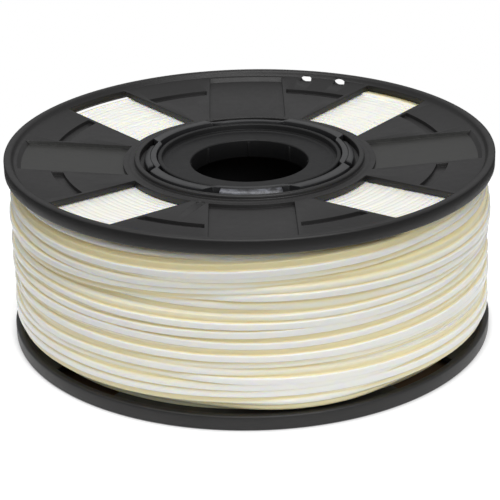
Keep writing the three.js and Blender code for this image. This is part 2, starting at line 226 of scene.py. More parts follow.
def circle(r, sides):
    return [polar(r, 360 * i / sides) for i in range(sides)]


def arc_points(r, middle, half, steps):
    """Points on an arc, from one side of its middle angle to the other."""
    return [polar(r, middle + half * (2 * i / steps - 1)) for i in range(steps + 1)]


def strip(inner, outer, inner_width, outer_width):
    """A strip along +X between two radii, as (x, y) points."""
    outer_half = math.degrees(math.asin(outer_width / 2 / outer))
    inner_half = math.degrees(math.asin(inner_width / 2 / inner))
    return arc_points(outer, 0, outer_half, STRIP_STEPS) + arc_points(inner, 0, -inner_half, STRIP_STEPS)


def beside(radius, height, steps):
    """Points of a section near one corner, from how far each lies out and up from it."""
    return [(radius + out, height + up) for out, up in steps]


def on_plate(r):
    return r, plate_top(r)


# ---------------------------------------------------------------- mesh helpers


def new_object(name, verts, faces):
    """A mesh object from millimetre points about the middle plane, lifted to the spool's own frame."""
    mesh = bpy.data.meshes.new(name)
    lifted = [(x * MM, y * MM, (z + HALF) * MM) for x, y, z in verts]
    mesh.from_pydata(lifted, [], faces)
    mesh.validate()
    made = bpy.data.objects.new(name, mesh)
    bpy.context.scene.collection.objects.link(made)
    bm = bmesh.new()
    bm.from_mesh(mesh)
    bmesh.ops.recalc_face_normals(bm, faces=bm.faces)
    bm.to_mesh(mesh)
    bm.free()
    return made


def revolve(name, outline, steps=ROUND_STEPS):
    """A closed outline of (radius, height) points turned all the way round the axis."""
    n = len(outline)
    verts = [(*polar(r, 360 * i / steps), z) for i in range(steps) for r, z in outline]
    faces = []
    for i in range(steps):
        here = i * n
        there = (i + 1) % steps * n
        for k in range(n):
            after = (k + 1) % n
            faces.append((here + k, there + k, there + after, here + after))
    return new_object(name, verts, faces)


def arc_sweep(name, outline, start, end, step=SWEEP_STEP):
    """The same kind of outline swept from one angle to another, with capped ends."""
    n = len(outline)
    count = max(2, round((end - start) / step))
    angles = [start + (end - start) * i / count for i in range(count + 1)]
    verts = [(*polar(r, a), z) for a in angles for r, z in outline]
    faces = [tuple(range(n)), tuple(count * n + k for k in range(n))]
    for i in range(count):
        for k in range(n):
            after = (k + 1) % n
            faces.append((i * n + k, (i + 1) * n + k, (i + 1) * n + after, i * n + after))
    return new_object(name, verts, faces)


def prism(name, outline, bottom, top):
    """A flat outline of (x, y) points pulled up from one height to another."""
    n = len(outline)
    verts = [(x, y, z) for z in (bottom, top) for x, y in outline]
    faces = [tuple(range(n)), tuple(n + k for k in range(n))]
    faces += [(k, (k + 1) % n, n + (k + 1) % n, n + k) for k in range(n)]
    return new_object(name, verts, faces)


def ring_prism(name, outer, inner, bottom, top):
    """The band between two outlines with the same number of points."""
    n = len(outer)
    verts = [(x, y, z) for z in (bottom, top) for x, y in (*outer, *inner)]
    faces = []
    for k in range(n):
        m = (k + 1) % n
        faces.append((k, m, n + m, n + k))
        faces.append((2 * n + k, 2 * n + m, 3 * n + m, 3 * n + k))
        faces.append((k, m, 2 * n + m, 2 * n + k))
        faces.append((n + k, n + m, 3 * n + m, 3 * n + k))
    return new_object(name, verts, faces)


def copy_of(obj):
    copy = obj.copy()
    copy.data = obj.data.copy()
    bpy.context.scene.collection.objects.link(copy)
    return copy


def turned(obj, degrees):
    """A turned copy of an object."""
    copy = copy_of(obj)
    copy.data.transform(Matrix.Rotation(math.radians(degrees), 4, "Z"))
    return copy


def mirrored_y(obj):
    copy = copy_of(obj)
    copy.data.transform(Matrix.Diagonal((1, -1, 1, 1)))
    copy.data.flip_normals()
    return copy


def turn_over(obj, name):
    """The same moulding on the other side of the middle plane."""
    copy = copy_of(obj)
    copy.name = name
    middle = Matrix.Translation((0, 0, HALF * MM))
    copy.data.transform(middle @ Matrix.Rotation(math.pi, 4, "Y") @ middle.inverted())
    return copy


def join(objs):
    """One object holding the faces of several that don't touch."""
    bm = bmesh.new()
    for o in objs:
        bm.from_mesh(o.data)
    first = objs[0]
    bm.to_mesh(first.data)
    bm.free()
    for o in objs[1:]:
        bpy.data.objects.remove(o)
    return first


def combine(obj, other, operation):
    """Boolean of two objects; the second is used up."""
    modifier = obj.modifiers.new("cut", "BOOLEAN")
    modifier.operation = operation
    modifier.solver = "EXACT"
    modifier.object = other
    apply_modifiers(obj)
    bpy.data.objects.remove(other)
    return obj


def apply_modifiers(obj):
    bpy.context.view_layer.update()
    evaluated = obj.evaluated_get(bpy.context.evaluated_depsgraph_get())
    mesh = bpy.data.meshes.new_from_object(evaluated)
    obj.modifiers.clear()
    obj.data = mesh


def soften(obj, width):
    """Rounds the hard edges by a small moulding radius and shades the rest smooth."""
    bm = bmesh.new()
    bm.from_mesh(obj.data)
    bmesh.ops.remove_doubles(bm, verts=bm.verts, dist=MERGE_DISTANCE * MM)
    bmesh.ops.dissolve_degenerate(bm, edges=bm.edges, dist=MERGE_DISTANCE * MM)
    bm.to_mesh(obj.data)
    bm.free()
    modifier = obj.modifiers.new("edge", "BEVEL")
    modifier.width = width * MM
    modifier.segments = 2
    modifier.limit_method = "ANGLE"
    modifier.angle_limit = math.radians(BEVEL_ANGLE)
    modifier.use_clamp_overlap = False
    apply_modifiers(obj)
    obj.data.shade_smooth()
    obj.data.set_sharp_from_angle(angle=math.radians(SHARP_ANGLE))


def mark_finish_and_sheen(obj, is_marked):
    """Stores which faces get the plastic's lighter marked tones, for a coarser texture on some faces and a
    painted sheen on others.
    """
    values = [float(is_marked(face.center / MM, face.normal)) for face in obj.data.polygons]
    attribute = obj.data.attributes.new("finish_and_sheen", "FLOAT", "FACE")
    attribute.data.foreach_set("value", values)


def seat(obj, slot, material, *nodes):
    """Gives a piece its material and its body, and hides the CAD nodes that it stands for."""
    obj.data.materials.clear()
    obj.data.materials.append(material)
    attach(obj, "root")
    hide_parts(*nodes)
    return obj


# ---------------------------------------------------------------- materials


# The filament's colours, from a strand's crest (a painted white highlight) down to the valley beside it
# (painted amber light), and the depths at which the crest's painted highlight begins to fade, the flank is
# ivory and the valley's painted light is full, as shares of DEPTH_SHOWN.
CREST_PAINTED_HIGHLIGHT = (0.94, 0.92, 0.88)
IVORY = (0.945, 0.912, 0.82)
IVORY_WARM = (0.94, 0.893, 0.775)
VALLEY_PAINTED_LIGHT = (0.955, 0.825, 0.53)
CREST_DEPTH = 0.01
FLANK_DEPTH = 0.1
VALLEY_DEPTH = 0.65

BLACK = (0, 0, 0)
WHITE = (1, 1, 1)

# The floor's colour beside the spool and the painted dark brown shadow under it, its glow for the camera
# and reflections, and how far from the spool's edge, in millimetres, the glow and the painted shadow begin
# to change.
FLOOR_WHITE = (0.75, 0.75, 0.75)
PAINTED_SHADOW_UNDER_SPOOL = (0.10, 0.065, 0.04)
FLOOR_GLOW = 0.5
GLOW_EDGE = 3
SHADE_EDGE = 4


class Nodes:
    """Short helper to build the nodes of a material or of the world."""

    def __init__(self, owner, output):
        owner.use_nodes = True
        self.owner = owner
        self.tree = owner.node_tree
        self.tree.nodes.clear()
        self.output = self.add(output)

    def add(self, kind, **values):
        node = self.tree.nodes.new(kind)
        for key, value in values.items():
            if hasattr(node, key):
                setattr(node, key, value)
            else:
                node.inputs[key.replace("_", " ")].default_value = value
        return node

    def link(self, source, target):
        self.tree.links.new(source, target)

    def place(self):
        return self.add("ShaderNodeTexCoord").outputs["Object"]

    def attribute(self, name):
        return self.add("ShaderNodeAttribute", attribute_name=name).outputs["Fac"]

    def noise(self, coordinates, scale, detail, roughness=0.55):
        node = self.add("ShaderNodeTexNoise", Scale=scale, Detail=detail, Roughness=roughness)
        self.link(coordinates, node.inputs["Vector"])
        return node.outputs["Fac"]

    def ramp(self, factor, *stops):
        node = self.add("ShaderNodeValToRGB")
        elements = node.color_ramp.elements
        while len(elements) < len(stops):
            elements.new(0.5)
        for element, (place, color) in zip(elements, stops):
            element.position = place
            element.color = (*color, 1)
        self.link(factor, node.inputs["Fac"])
        return node.outputs["Color"]

    def span(self, factor, low, high, **values):
        node = self.add("ShaderNodeMapRange", To_Min=low, To_Max=high, **values)
        self.link(factor, node.inputs["Value"])
        return node.outputs["Result"]

    def mix(self, factor, first, second):
        """A mix of two colours, each of which is a plain colour or another node's."""
        node = self.add("ShaderNodeMix", data_type="RGBA")
        self.link(factor, node.inputs[0])
        for socket, color in ((node.inputs[6], first), (node.inputs[7], second)):
            if isinstance(color, tuple):
                socket.default_value = (*color, 1)
            else:
                self.link(color, socket)
        return node.outputs[2]

    def calculate(self, operation, *values):
        """Arithmetic on values, each of which is a plain number or another node's."""
        node = self.add("ShaderNodeMath", operation=operation)
        for socket, value in zip(node.inputs, values):
            if isinstance(value, float):
                socket.default_value = value
            else:
                self.link(value, socket)
        return node.outputs[0]

    def bump(self, height, strength, distance, normal=None):
        node = self.add("ShaderNodeBump", Strength=strength, Distance=distance)
        self.link(height, node.inputs["Height"])
        if normal is not None:
            self.link(normal, node.inputs["Normal"])
        return node.outputs["Normal"]


def new_material(name):
    return Nodes(bpy.data.materials.new(name), "ShaderNodeOutputMaterial")


def moulded_black(name, tones, roughness, ior, finish_and_sheen_tones=None):
    """Satin black moulded plastic: spark-eroded grain, faint flow marks and handling scuffs.

    Marked faces have lighter, speckled tones: a coarser texture on the side recesses' floors, painted sheen
    on their long walls and on the front snap nose.
    """
    n = new_material(name)
    where = n.place()
    flow = n.noise(where, scale=22, detail=3)
    grain = n.noise(where, scale=2600, detail=2)
    scuff = n.noise(where, scale=260, detail=6, roughness=0.7)
    shader = n.add("ShaderNodeBsdfPrincipled", IOR=ior)
    color = n.ramp(flow, (0.3, tones[0]), (0.7, tones[1]))
    if finish_and_sheen_tones:
        # Partly a coarser texture and partly painted sheen, on the marked faces.
        speckled_finish_and_sheen = n.ramp(scuff, (0.4, finish_and_sheen_tones[0]), (0.6, finish_and_sheen_tones[1]))
        color = n.mix(n.attribute("finish_and_sheen"), color, speckled_finish_and_sheen)
    n.link(color, shader.inputs["Base Color"])
    n.link(n.span(scuff, *roughness), shader.inputs["Roughness"])
    scuffed = n.bump(scuff, strength=0.12, distance=0.0002)
    n.link(n.bump(grain, strength=0.25, distance=0.00006, normal=scuffed), shader.inputs["Normal"])
    n.link(shader.outputs["BSDF"], n.output.inputs["Surface"])
    return n.owner


def natural_filament(name):
    """Extruded natural plastic: ivory and translucent, with a painted white highlight on the strands'
    crests and painted amber light where strands lie deep between others.
    """
    n = new_material(name)
    where = n.place()
    tone = n.noise(where, scale=35, detail=3)
    draw = n.noise(where, scale=900, detail=3)
    depth = n.attribute("depth")
    shader = n.add("ShaderNodeBsdfPrincipled", IOR=1.54)
    surface = n.ramp(tone, (0.35, IVORY_WARM), (0.65, IVORY))
    # Painted light, by depth: a white highlight on the crests and amber light deep in the valleys.
    flank = n.mix(n.ramp(depth, (CREST_DEPTH, BLACK), (FLANK_DEPTH, WHITE)), CREST_PAINTED_HIGHLIGHT, surface)
    color = n.mix(n.ramp(depth, (FLANK_DEPTH, BLACK), (VALLEY_DEPTH, WHITE)), flank, VALLEY_PAINTED_LIGHT)
    n.link(color, shader.inputs["Base Color"])
    n.link(n.span(draw, low=0.18, high=0.28), shader.inputs["Roughness"])
    shader.inputs["Subsurface Weight"].default_value = 1
    shader.inputs["Subsurface Radius"].default_value = (1.0, 0.85, 0.55)
    shader.inputs["Subsurface Scale"].default_value = 0.001
    n.link(n.bump(draw, strength=0.12, distance=0.00005), shader.inputs["Normal"])
    n.link(shader.outputs["BSDF"], n.output.inputs["Surface"])
    return n.owner


def pale_floor(name):
    """A pale floor, seen as white round the spool by the camera and in reflections, with the spool's shadow
    and a painted shadow under it.
    """
    n = new_material(name)
    path = n.add("ShaderNodeLightPath")
    seen = n.calculate("MAXIMUM", path.outputs["Is Camera Ray"], path.outputs["Is Glossy Ray"])
    length = n.add("ShaderNodeVectorMath", operation="LENGTH")
    n.link(n.place(), length.inputs[0])
    distance = length.outputs["Value"]
    outside = n.span(
        distance, 0, FLOOR_GLOW,
        From_Min=(RADIUS - GLOW_EDGE) * MM,
        From_Max=(RADIUS + GLOW_EDGE) * MM,
        interpolation_type="SMOOTHSTEP",
    )
    glow = n.add("ShaderNodeEmission", Color=(*WHITE, 1))
    n.link(n.calculate("MULTIPLY", seen, outside), glow.inputs["Strength"])
    # Painted shadow: the floor's colour turns dark brown under the spool.
    covered = n.span(distance, 0, 1, From_Min=(RADIUS - SHADE_EDGE) * MM, From_Max=RADIUS * MM)
    lit = n.add("ShaderNodeBsdfDiffuse")
    n.link(n.ramp(covered, (0, PAINTED_SHADOW_UNDER_SPOOL), (1, FLOOR_WHITE)), lit.inputs["Color"])
    both = n.add("ShaderNodeAddShader")
    n.link(lit.outputs[0], both.inputs[0])
    n.link(glow.outputs[0], both.inputs[1])
    n.link(both.outputs[0], n.output.inputs["Surface"])
    return n.owner


# ---------------------------------------------------------------- flange


FLANGE_SOFTNESS = 0.2
POCKET_FLOOR_SPAN = 50
GROOVE_START = 2
GROOVE_END = 44


def flange_section():
    """From the collar's foot out under the plate, round the rim and back over the plate to the collar."""
    rim_bottom = HALF - RIM_HEIGHT
    ledge = plate_top(LEDGE_RADIUS)
    rounding = [polar(RIM_ROUNDING, a) for a in range(0, 91, 18)]
    return [
        (COLLAR_BORE, SEAT_Z),
        (SEAT_RADIUS, SEAT_Z),
        (RIM_INNER, plate_under(RIM_INNER)),
        (RIM_INNER + RIM_FOOT, rim_bottom),
        (RADIUS - RIM_FOOT, rim_bottom),
        (RADIUS - RIM_FOOT_CORNER, rim_bottom + RIM_FOOT_CORNER),
        (RADIUS, rim_bottom + RIM_FOOT),
        *beside(RADIUS - RIM_ROUNDING, HALF - RIM_ROUNDING, rounding),
        *beside(RIM_INNER, HALF, RIM_INSIDE),
        *beside(RIM_INNER, plate_top(RIM_INNER), RIM_INSIDE_FOOT),
        on_plate(RIM_INNER - RIM_FILLET),
        on_plate(LEDGE_RADIUS + LEDGE_FILLET),
        *beside(LEDGE_RADIUS, ledge, LEDGE_EDGE),
        *beside(COLLAR_RADIUS, ledge, COLLAR_FOOT),
        *beside(COLLAR_RADIUS, COLLAR_TOP, COLLAR_OUTSIDE),
        *beside(COLLAR_BORE, COLLAR_TOP, COLLAR_INSIDE),
    ]


def window_prism(clearance):
    widths = (WINDOW_INNER_WIDTH + 2 * clearance, WINDOW_OUTER_WIDTH + 2 * clearance)
    return prism("window", strip(WINDOW_INNER_RADIUS, WINDOW_OUTER_RADIUS, *widths), 0, HALF)


def pocket_prism(clearance):
    width = POCKET_WIDTH + 2 * clearance
    return prism("pocket", strip(POCKET_INNER_RADIUS, POCKET_OUTER_RADIUS, width, width), 0, HALF)


def pocket_cut():
    """One label recess, whose floor follows the dish of the plate."""
    floor_start = POCKET_INNER_RADIUS - CUT_MARGIN
    floor_end = POCKET_OUTER_RADIUS - POCKET_DEPTH
    pocket = pocket_prism(0)
    above_floor = arc_sweep("above_floor", [
        (floor_start, plate_top(floor_start) - POCKET_DEPTH),
        (floor_end, plate_top(floor_end) - POCKET_DEPTH),
        (RIM_INNER, plate_top(RIM_INNER) + POCKET_RIM_MARGIN),
        (RIM_INNER, HALF + CUT_MARGIN),
        (floor_start, HALF + CUT_MARGIN),
    ], -POCKET_FLOOR_SPAN / 2, POCKET_FLOOR_SPAN / 2)
    return combine(pocket, above_floor, "INTERSECT")


def groove_cut():
    """One arc groove, whose ends follow the sides of the recess and of the window beside it."""
    middle = RIM_INNER - GROOVE_RIM_DISTANCE
    inner = middle - GROOVE_WIDTH / 2
    outer = middle + GROOVE_WIDTH / 2
    groove = arc_sweep("groove", [
        (inner, plate_top(inner) - GROOVE_DEPTH),
        (outer, plate_top(outer) - GROOVE_DEPTH),
        (outer, plate_top(outer) + CUT_MARGIN),
        (inner, plate_top(inner) + CUT_MARGIN),
    ], GROOVE_START, GROOVE_END, GROOVE_STEP)
    window = window_prism(GROOVE_WINDOW_GAP)
    window.data.transform(Matrix.Rotation(math.radians(45), 4, "Z"))
    groove = combine(groove, window, "DIFFERENCE")
    return combine(groove, pocket_prism(GROOVE_POCKET_GAP), "DIFFERENCE")


def tie_hole(angle):
    """One oval hole through the foot of the rim. Both holes head the same way."""
    oval = [(x * TIE_HOLE_TALL, y * TIE_HOLE_WIDTH) for x, y in circle(0.5, HOLE_SIDES)]
    length = TIE_HOLE_START + RIM_THICKNESS + CUT_MARGIN
    x, y = polar(RIM_INNER, angle)
    drill = prism("drill", oval, -HALF, length - HALF)
    drill.data.transform(Matrix.Rotation(math.radians(90), 4, "Y"))
    drill.data.transform(Matrix.Translation((-TIE_HOLE_START * MM, 0, 0)))
    drill.data.transform(Matrix.Rotation(math.radians(TIE_HOLE_HEADING), 4, "Z"))
    drill.data.transform(Matrix.Translation((x * MM, y * MM, (2 * HALF - TIE_HOLE_HEIGHT) * MM)))
    return drill


def dimple():
    """The round mark of an ejector pin, square to the dish of the plate."""
    distance = SEAT_RADIUS + DIMPLE_SEAT_DISTANCE
    drill = prism("dimple", circle(DIMPLE_RADIUS, HOLE_SIDES), -HALF - DIMPLE_DEPTH, DIMPLE_DEPTH - HALF)
    drill.data.transform(Matrix.Rotation(-math.atan(DISH_SLOPE), 4, "Y"))
    drill.data.transform(Matrix.Translation((distance * MM, 0, (plate_top(distance) + HALF) * MM)))
    drill.data.transform(Matrix.Rotation(math.radians(DIMPLE_ANGLE), 4, "Z"))
    return drill


def tab(angle):
    """One tab inside the collar, which a snap nose holds down."""
    return arc_sweep("tab", [
        (COLLAR_BORE - TAB_REACH, SEAT_Z),
        (COLLAR_BORE + ROOT_OVERLAP, SEAT_Z),
        (COLLAR_BORE + ROOT_OVERLAP, TAB_TOP),
        (COLLAR_BORE - TAB_REACH, TAB_TOP),
    ], angle - TAB_SPAN / 2, angle + TAB_SPAN / 2)


# The side recesses' floors are marked for a coarser texture, and their long walls for a painted sheen.
def in_side_recess(place, normal):
    """Whether a face is the floor or a long wall of the label recess at the left or right."""
    away = abs(place.x)
    is_floor = normal.z > 0.9
    is_long_wall = abs(normal.y) > 0.8
    is_between_ends = POCKET_INNER_RADIUS < away < POCKET_OUTER_RADIUS
    is_between_sides = abs(place.y) < POCKET_WIDTH / 2 + 0.1
    is_below_plate = place.z - HALF < plate_top(away) - 0.4
    return (is_floor or is_long_wall) and is_between_ends and is_between_sides and is_below_plate


def flange():
    """The upper flange, with its tabs, windows, label recesses, grooves, tie holes and ejector mark."""
    body = revolve("flange", flange_section())
    window = window_prism(0)
    pocket = pocket_cut()
    groove = groove_cut()
    other_groove = mirrored_y(groove)
    cutters = [turned(o, q) for q in QUARTERS for o in (pocket, groove, other_groove)]
    cutters += [turned(window, q + 45) for q in QUARTERS]
    body = combine(body, join([tab(q) for q in QUARTERS]), "UNION")
    body = combine(body, join(cutters), "DIFFERENCE")
    for angle in TIE_HOLE_ANGLES:
        body = combine(body, tie_hole(angle), "DIFFERENCE")
    body = combine(body, dimple(), "DIFFERENCE")
    for used in (window, pocket, groove, other_groove):
        bpy.data.objects.remove(used)
    soften(body, FLANGE_SOFTNESS)
    mark_finish_and_sheen(body, in_side_recess)
    return body


# ---------------------------------------------------------------- drum and bore insert


DRUM_SOFTNESS = 0.35
HUB_SOFTNESS = 0.15


def castellated_edge(jog_radius, crest_radius, jog_span):
    """An outline that steps in at four jogs and out at the four crests between them."""
    jog_half = (jog_span - JOG_FLANK) / 2
    crest_half = (90 - jog_span - JOG_FLANK) / 2
    points = []
    for quarter in QUARTERS:
        points += arc_points(jog_radius, quarter, jog_half, EDGE_STEPS)
        points += arc_points(crest_radius, quarter + 45, crest_half, EDGE_STEPS)
    return points


def nose(angle):
    """One sloped snap nose, a seat gap above the tab that it holds down."""
    catch = TAB_TOP + SEAT_GAP
    top = CREST_TOP - NOSE_DROP
    return arc_sweep("nose", [
        (JOG_OUTER - ROOT_OVERLAP, catch),
        (NOSE_TIP - NOSE_TIP_EDGE, catch),
        (NOSE_TIP, catch + NOSE_TIP_EDGE),
        (NOSE_TIP, top - NOSE_SLOPE),
        *beside(NOSE_TIP, top, NOSE_SHOULDER),
        *beside(JOG_OUTER, top, NOSE_ROOT),
        (JOG_OUTER - ROOT_OVERLAP, top),
    ], angle - NOSE_SPAN / 2, angle + NOSE_SPAN / 2)


# The front snap nose's top is marked for a painted highlight, speckled like scuffed plastic; the other
# noses are not.
def on_front_nose(place, normal):
    """Whether a face is on top of the front snap nose of the upper end."""
    is_upper_top = normal.z > 0.1 and place.z > HALF
    is_on_nose = JOG_OUTER + 0.3 < math.hypot(place.x, place.y) < NOSE_TIP + 0.2
    from_front = abs(math.degrees(math.atan2(place.x, -place.y)))
    return is_upper_top and is_on_nose and from_front < NOSE_SPAN / 2


def drum():
    """The tube with its two webs, and at each end the castellated ring with its four snap noses."""
    side = [
        (DRUM_RADIUS, DRUM_END),
        (DRUM_BORE + DRUM_LEAD, DRUM_END),
        (DRUM_BORE, DRUM_END - DRUM_LEAD),
        (DRUM_BORE, WEB_TOP),
        (WEB_BORE, WEB_TOP),
        (WEB_BORE, WEB_UNDER),
        (DRUM_BORE, WEB_UNDER),
    ]
    body = revolve("drum_tube", side + [(r, -z) for r, z in reversed(side)], DRUM_STEPS)
    outer = castellated_edge(JOG_OUTER, CREST_OUTER, JOG_SPAN + JOG_FLARE)
    inner = castellated_edge(JOG_INNER, CREST_INNER, JOG_SPAN - 2 * JOG_FLARE)
    crest = ring_prism("crest", outer, inner, WEB_TOP - CREST_ROOT, CREST_TOP)
    crest = combine(crest, join([nose(q) for q in QUARTERS]), "UNION")
    crest = join([crest, turn_over(crest, "other_crest")])
    body = combine(body, crest, "UNION")
    soften(body, DRUM_SOFTNESS)
    mark_finish_and_sheen(body, on_front_nose)
    body.name = "drum"
    return body


def hub():
    """The upper bore insert: a recessed disc with a raised rim, a skirt and a short ribbed sleeve."""
    under = HUB_FACE - HUB_PLATE
    skirt_end = WEB_TOP + SEAT_GAP
    sleeve = BORE_RADIUS + SLEEVE_WALL
    body = revolve("hub", [
        (BORE_RADIUS, SLEEVE_END),
        (sleeve, SLEEVE_END),
        (sleeve, under),
        (HUB_RIM_INNER, under),
        (HUB_RIM_INNER, skirt_end),
        (HUB_RADIUS, skirt_end),
        *beside(HUB_RADIUS, HUB_RIM_TOP, HUB_RIM_OUTSIDE),
        *beside(HUB_RIM_INNER, HUB_RIM_TOP, HUB_RIM_INSIDE),
        *beside(HUB_RIM_INNER, HUB_STEP_TOP, HUB_STEP_CORNER),
        *beside(HUB_STEP_INNER, HUB_STEP_TOP, HUB_STEP_EDGE),
        *beside(HUB_STEP_INNER, HUB_FACE, HUB_STEP_FOOT),
        *beside(BORE_RADIUS, HUB_FACE, HUB_BORE_EDGE),
    ])
    ribs = []
    for x, y in circle(BORE_RADIUS, BORE_RIBS):
        outline = [(x + dx, y + dy) for dx, dy in circle(BORE_RIB_RADIUS, RIB_SIDES)]
        ribs.append(prism("rib", outline, SLEEVE_END + BORE_RIB_END, HUB_FACE - BORE_RIB_TOP))
    body = combine(body, join(ribs), "UNION")
    soften(body, HUB_SOFTNESS)
    return body


# ---------------------------------------------------------------- filament


# The winding is worked out on a grid, with one row for each of TURN_STEPS angles and one column for
# each CELL of height. Lengths are in millimetres.
TURN_STEPS = 144
CELL = 0.15

# Only the last layers show. The turns of one layer are PITCH apart.
WINDING_SEED = 23
LAYERS = 5
LAYER_RISE = 2.5
PITCH = 3.3

# How turns stray: in waves round the spool that neighbours share, by themselves, and in sudden slips.
# SLIPS is how many there are for each turn, and their length is in turns. All of it fades out over the
# last STEADY_END before a flange.
WANDER = 0.65
WANDER_WAVES = (1, 2, 3, 4)
WANDER_LIKENESS = 0.7
OWN_WANDER = 0.35
OWN_WANDER_STEPS = 9
SLIPS = 1
SLIP_LENGTH = (0.12, 0.3)
SLIP_SIZE = (1.4, 3.0)
STEADY_END = 6

# A strand bridges hollows of a few steps. LEAD is how many steps of the turn before count for that.
BRIDGE = 4
LEAD = 15

# The radius of the winding's crests, the most that a crossing may reach, and the profile that the crests
# follow: pairs of a height and what the radius changes by there.
WOUND_RADIUS = 98.4
WOUND_LIMIT = 99.4
WOUND_PROFILE = (
    (-34, -10), (-32.5, -9), (-31.2, -7), (-30.2, -4.5), (-29.2, -2.4), (-27.8, -0.9), (-23, 0),
    (14, 0), (18, -0.4), (21, -1.2), (25, -2.2), (29, -3.2), (34, -4.5),
)

# The share EVENNESS of the winding's slow rise and fall is taken out again. Slow is what a blur over
# EVEN_HEIGHT and EVEN_STEPS leaves. Crests stand out from the mean by RIDGE, gaps between strands close
# at GAP_DEPTH, and FUSE is how many cells the surface is blurred by. The winding clears the flanges'
# rims, goes out by up to RIM_CLEARING in the first millimetre past them, and is LEAST_WALL thick or more.
EVENNESS = 0.85
EVEN_HEIGHT = 4
EVEN_STEPS = 8
RIDGE = 0.55
GAP_DEPTH = 1.2
FUSE = 1
RIM_CLEARING = 4
LEAST_WALL = 0.5

# A point's painted highlight and painted amber light go by how deep it lies below the strands beside it,
# both those within a strand's width and those within the part NEAR of it. The painted colour is deepest at
# DEPTH_SHOWN.
NEAR = 0.45
NEAR_WEIGHT = 0.65
FAR_WEIGHT = 0.35
DEPTH_SHOWN = 2.8

# The imported inside, whose layers end in rings that are flatter than the turns outside, and paler, with a
# weaker painted highlight and amber light.
CORE_SEED = 5
CORE_CELL = 0.25
CORE_DEPTH = 7
CORE_INNER = DRUM_RADIUS + SEAT_GAP
CORE_OUTER = WOUND_RADIUS - CORE_DEPTH
CORE_WANDER = 0.15
CORE_RELIEF = 0.18
CORE_SINK = 0.1
CORE_PALER = 3
CORE_TINT = 0.03


def blur(values, width):
    reach = 3 * width
    kernel = np.exp(-0.5 * (np.arange(-reach, reach + 1) / width) ** 2)
    kernel /= kernel.sum()
    return np.convolve(np.pad(values, reach, mode="edge"), kernel, mode="valid")


def blur_round(ring, width):
    """A blur of values that go all the way round."""
    return blur(np.tile(ring, 3), width)[len(ring):2 * len(ring)]


def neighbours(surface, distance):
    """The outermost radius within a distance above and below each point."""
    reach = int(distance / CELL)
    padded = np.pad(surface, ((0, 0), (reach, reach)), mode="edge")
    return np.max([padded[:, k:k + surface.shape[1]] for k in range(2 * reach + 1)], axis=0)


def layer_path(rng, edge, direction):
    """Heights of one layer's strand along its turns: a helix, a wander that neighbours share, and slips."""
    turns = int(2 * edge / PITCH) + 2
    count = turns * TURN_STEPS
    along = np.arange(count) / TURN_STEPS
    angle = 2 * math.pi * along
    base = direction * edge * np.clip(2 * (along - 0.5) / (turns - 1) - 1, -1, 1)
    wander = np.zeros(count)
    for k in WANDER_WAVES:
        for wave in (np.cos(k * angle), np.sin(k * angle)):
            value = rng.normal()
            knots = []
            for _ in range(turns + 1):
                knots.append(value)
                value = WANDER_LIKENESS * value + math.sqrt(1 - WANDER_LIKENESS ** 2) * rng.normal()
            wander += np.interp(along, np.arange(turns + 1), knots) * wave * WANDER / k
    own = blur(rng.normal(size=count), OWN_WANDER_STEPS)
    wander += own / own.std() * OWN_WANDER
    for _ in range(int(turns * SLIPS)):
        middle = rng.uniform(0, turns)
        length = rng.uniform(*SLIP_LENGTH)
        size = rng.uniform(*SLIP_SIZE) * rng.choice((-1, 1))
        near = np.clip(np.abs(along - middle) / length, 0, 1)
        wander += size * (1 - near ** 2) ** 2
    free = np.clip((edge - np.abs(base)) / STEADY_END, 0, 1)
    return np.clip(base + wander * free, -edge, edge)


def lay_turn(surface, heights, z, before):
    """Lays one turn, at heights z, on whatever lies under it. Gives the last radii that it rests at."""
    rho = STRAND / 2
    reach = int(rho / CELL)
    offsets = np.arange(-reach, reach + 1)
    cap = np.sqrt(np.maximum(rho ** 2 - (offsets * CELL) ** 2, 0))
    rows = np.arange(TURN_STEPS)
    middle = np.round((z - heights[0]) / CELL).astype(int)
    columns = np.clip(middle[:, None] + offsets, 0, len(heights) - 1)
    need = (surface[rows[:, None], columns] + cap).max(axis=1)
    if before is None:
        before = need[:1].repeat(LEAD)
    line = np.concatenate([before, need, need[-1:].repeat(LEAD)])
    high = np.max([np.roll(line, k) for k in range(-BRIDGE, BRIDGE + 1)], axis=0)
    radius = blur(high, BRIDGE)[LEAD:LEAD + TURN_STEPS]
    exact = np.maximum(rho ** 2 - (heights[columns] - z[:, None]) ** 2, 0)
    reached = radius[:, None] + np.sqrt(exact)
    for k in range(columns.shape[1]):
        surface[rows, columns[:, k]] = np.maximum(surface[rows, columns[:, k]], reached[:, k])
    return need[-LEAD:]


